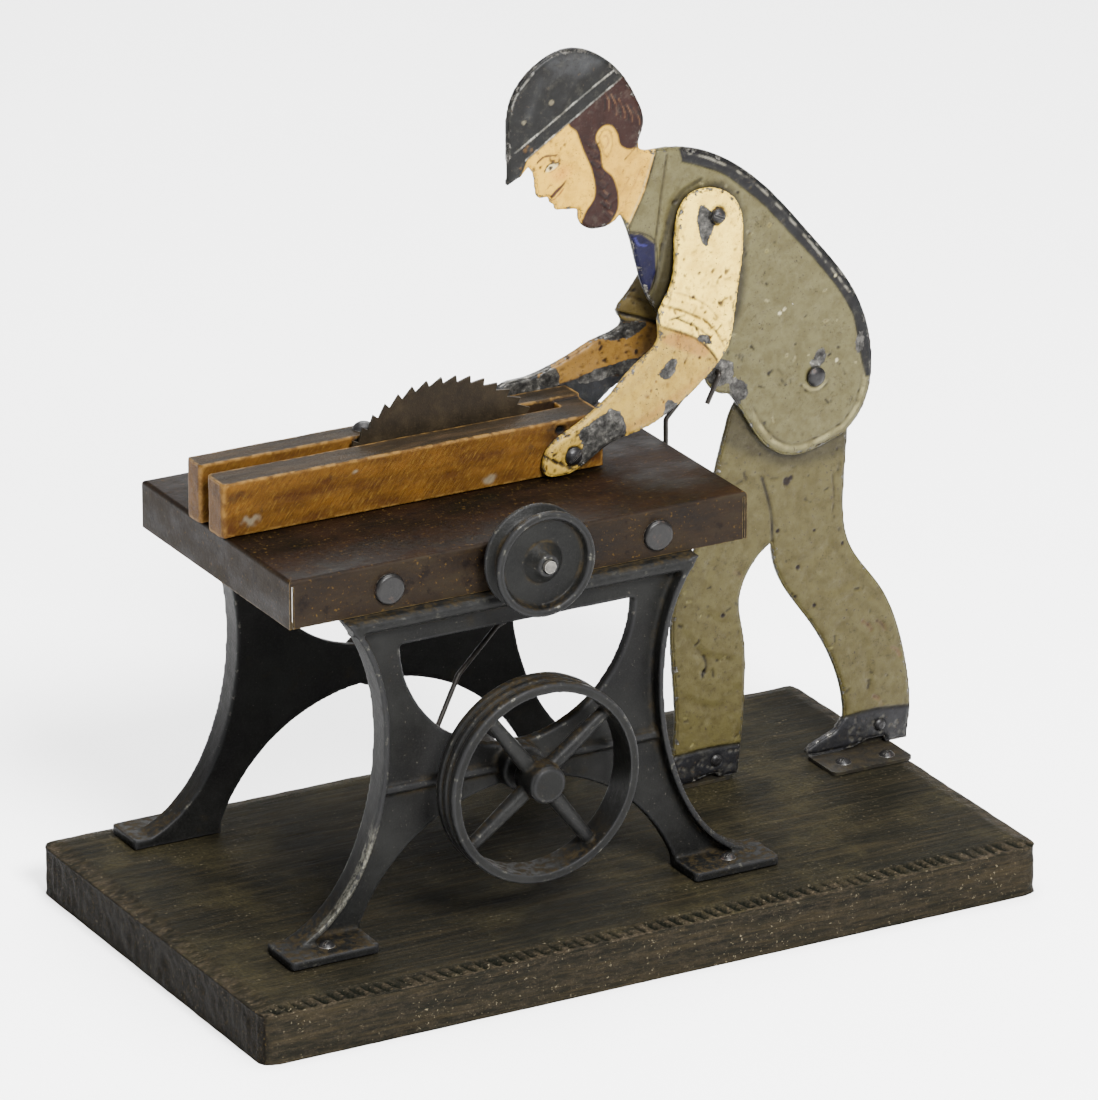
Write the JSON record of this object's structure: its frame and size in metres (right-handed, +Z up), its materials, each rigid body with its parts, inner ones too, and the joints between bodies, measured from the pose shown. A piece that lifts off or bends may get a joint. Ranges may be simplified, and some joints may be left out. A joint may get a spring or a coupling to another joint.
{
  "type": "mechanical sawyer figure at a circular saw bench",
  "caption": "Mechanical model of a cast figure in a flat cap who pushes a plank through a circular saw bench, moved by a crank and rod, on a wooden board.",
  "frame": {"origin": "centre of the board's underside", "axes": "+X along the board from the saw towards the figure's heels, +Y from the flywheel's side to the back of the bench, +Z up"},
  "size_m": [0.2598, 0.1428, 0.2514],
  "materials": {
    "board_wood": "dark stained softwood, worn brown at the edges, matt",
    "table_paint": "worn brown-grey paint on folded sheet",
    "cast_iron": "dark grey casting with bright worn edges",
    "dark_iron": "blackened iron hardware",
    "worn_steel": "dull worn steel shafting",
    "blade_steel": "brown tarnished sheet steel",
    "plank_wood": "golden orange softwood, dark and dirty on top",
    "rusty_iron": "rusty brown sheet iron",
    "figure_paint": "chipped hand-painted lead casting",
    "wire_steel": "dark drawn wire"
  },
  "bodies": {
    "stand": {"base_board": "board_wood", "table_top": "table_paint", "front_frame": "cast_iron", "back_frame": "cast_iron", "front_table_rivets": "dark_iron", "back_table_rivets": "dark_iron", "frame_foot_screws": "dark_iron", "legs": "figure_paint", "rear_foot_bracket": "rusty_iron", "front_foot_bracket": "rusty_iron", "bracket_screws": "dark_iron", "foot_rivets": "dark_iron", "hip_rivet": "dark_iron"},
    "flywheel": {"flywheel": "cast_iron", "axle": "worn_steel", "crank": "dark_iron", "axle_collar": "dark_iron"},
    "saw": {"saw_arbor": "worn_steel", "saw_blade": "blade_steel", "blade_front_collar": "dark_iron", "blade_back_collar": "dark_iron", "saw_pulley": "cast_iron"},
    "plank": {"plank": "plank_wood", "plank_nail": "dark_iron"},
    "torso": {"torso": "figure_paint", "shoulder_screw": "dark_iron", "shoulder_nut": "dark_iron"},
    "near_arm": {"near_arm": "figure_paint", "near_hand_screw": "dark_iron"},
    "far_arm": {"far_arm": "figure_paint", "far_hand_screw": "dark_iron"},
    "rod": {"connecting_rod": "wire_steel"}
  },
  "joints": [
    {"name": "flywheel_spin", "type": "hinge", "parent": "stand", "child": "flywheel", "pos_m": [-0.0282, 0, 0.0596], "axis": [0, 1, 0], "continuous": true},
    {"name": "saw_spin", "type": "hinge", "parent": "stand", "child": "saw", "pos_m": [-0.026, 0, 0.124], "axis": [0, 1, 0], "continuous": true},
    {"name": "torso_rock", "type": "hinge", "parent": "stand", "child": "torso", "pos_m": [0.0968, 0.0108, 0.1389], "axis": [0, 1, 0], "range_deg": [0, 16]},
    {"name": "plank_slide", "type": "slide", "parent": "stand", "child": "plank", "axis": [1, 0, 0], "range_m": [0, 0.0267]},
    {"name": "near_arm_swing", "type": "hinge", "parent": "torso", "child": "near_arm", "pos_m": [0.0617, 0.0108, 0.195], "axis": [0, 1, 0], "range_deg": [-25, 0]},
    {"name": "far_arm_swing", "type": "hinge", "parent": "torso", "child": "far_arm", "pos_m": [0.0617, 0.0108, 0.195], "axis": [0, 1, 0], "range_deg": [-25, 0]},
    {"name": "rod_swing", "type": "hinge", "parent": "torso", "child": "rod", "pos_m": [0.064, 0.0108, 0.1458], "axis": [0, 1, 0], "range_deg": [-18, 0]}
  ],
  "couplings": [
    {"joint": "plank_slide", "follows": "torso_rock", "m_per_rad": 0.0955},
    {"joint": "near_arm_swing", "follows": "torso_rock", "ratio": -1.53},
    {"joint": "far_arm_swing", "follows": "torso_rock", "ratio": -1.53},
    {"joint": "rod_swing", "follows": "torso_rock", "ratio": -1.11}
  ]
}
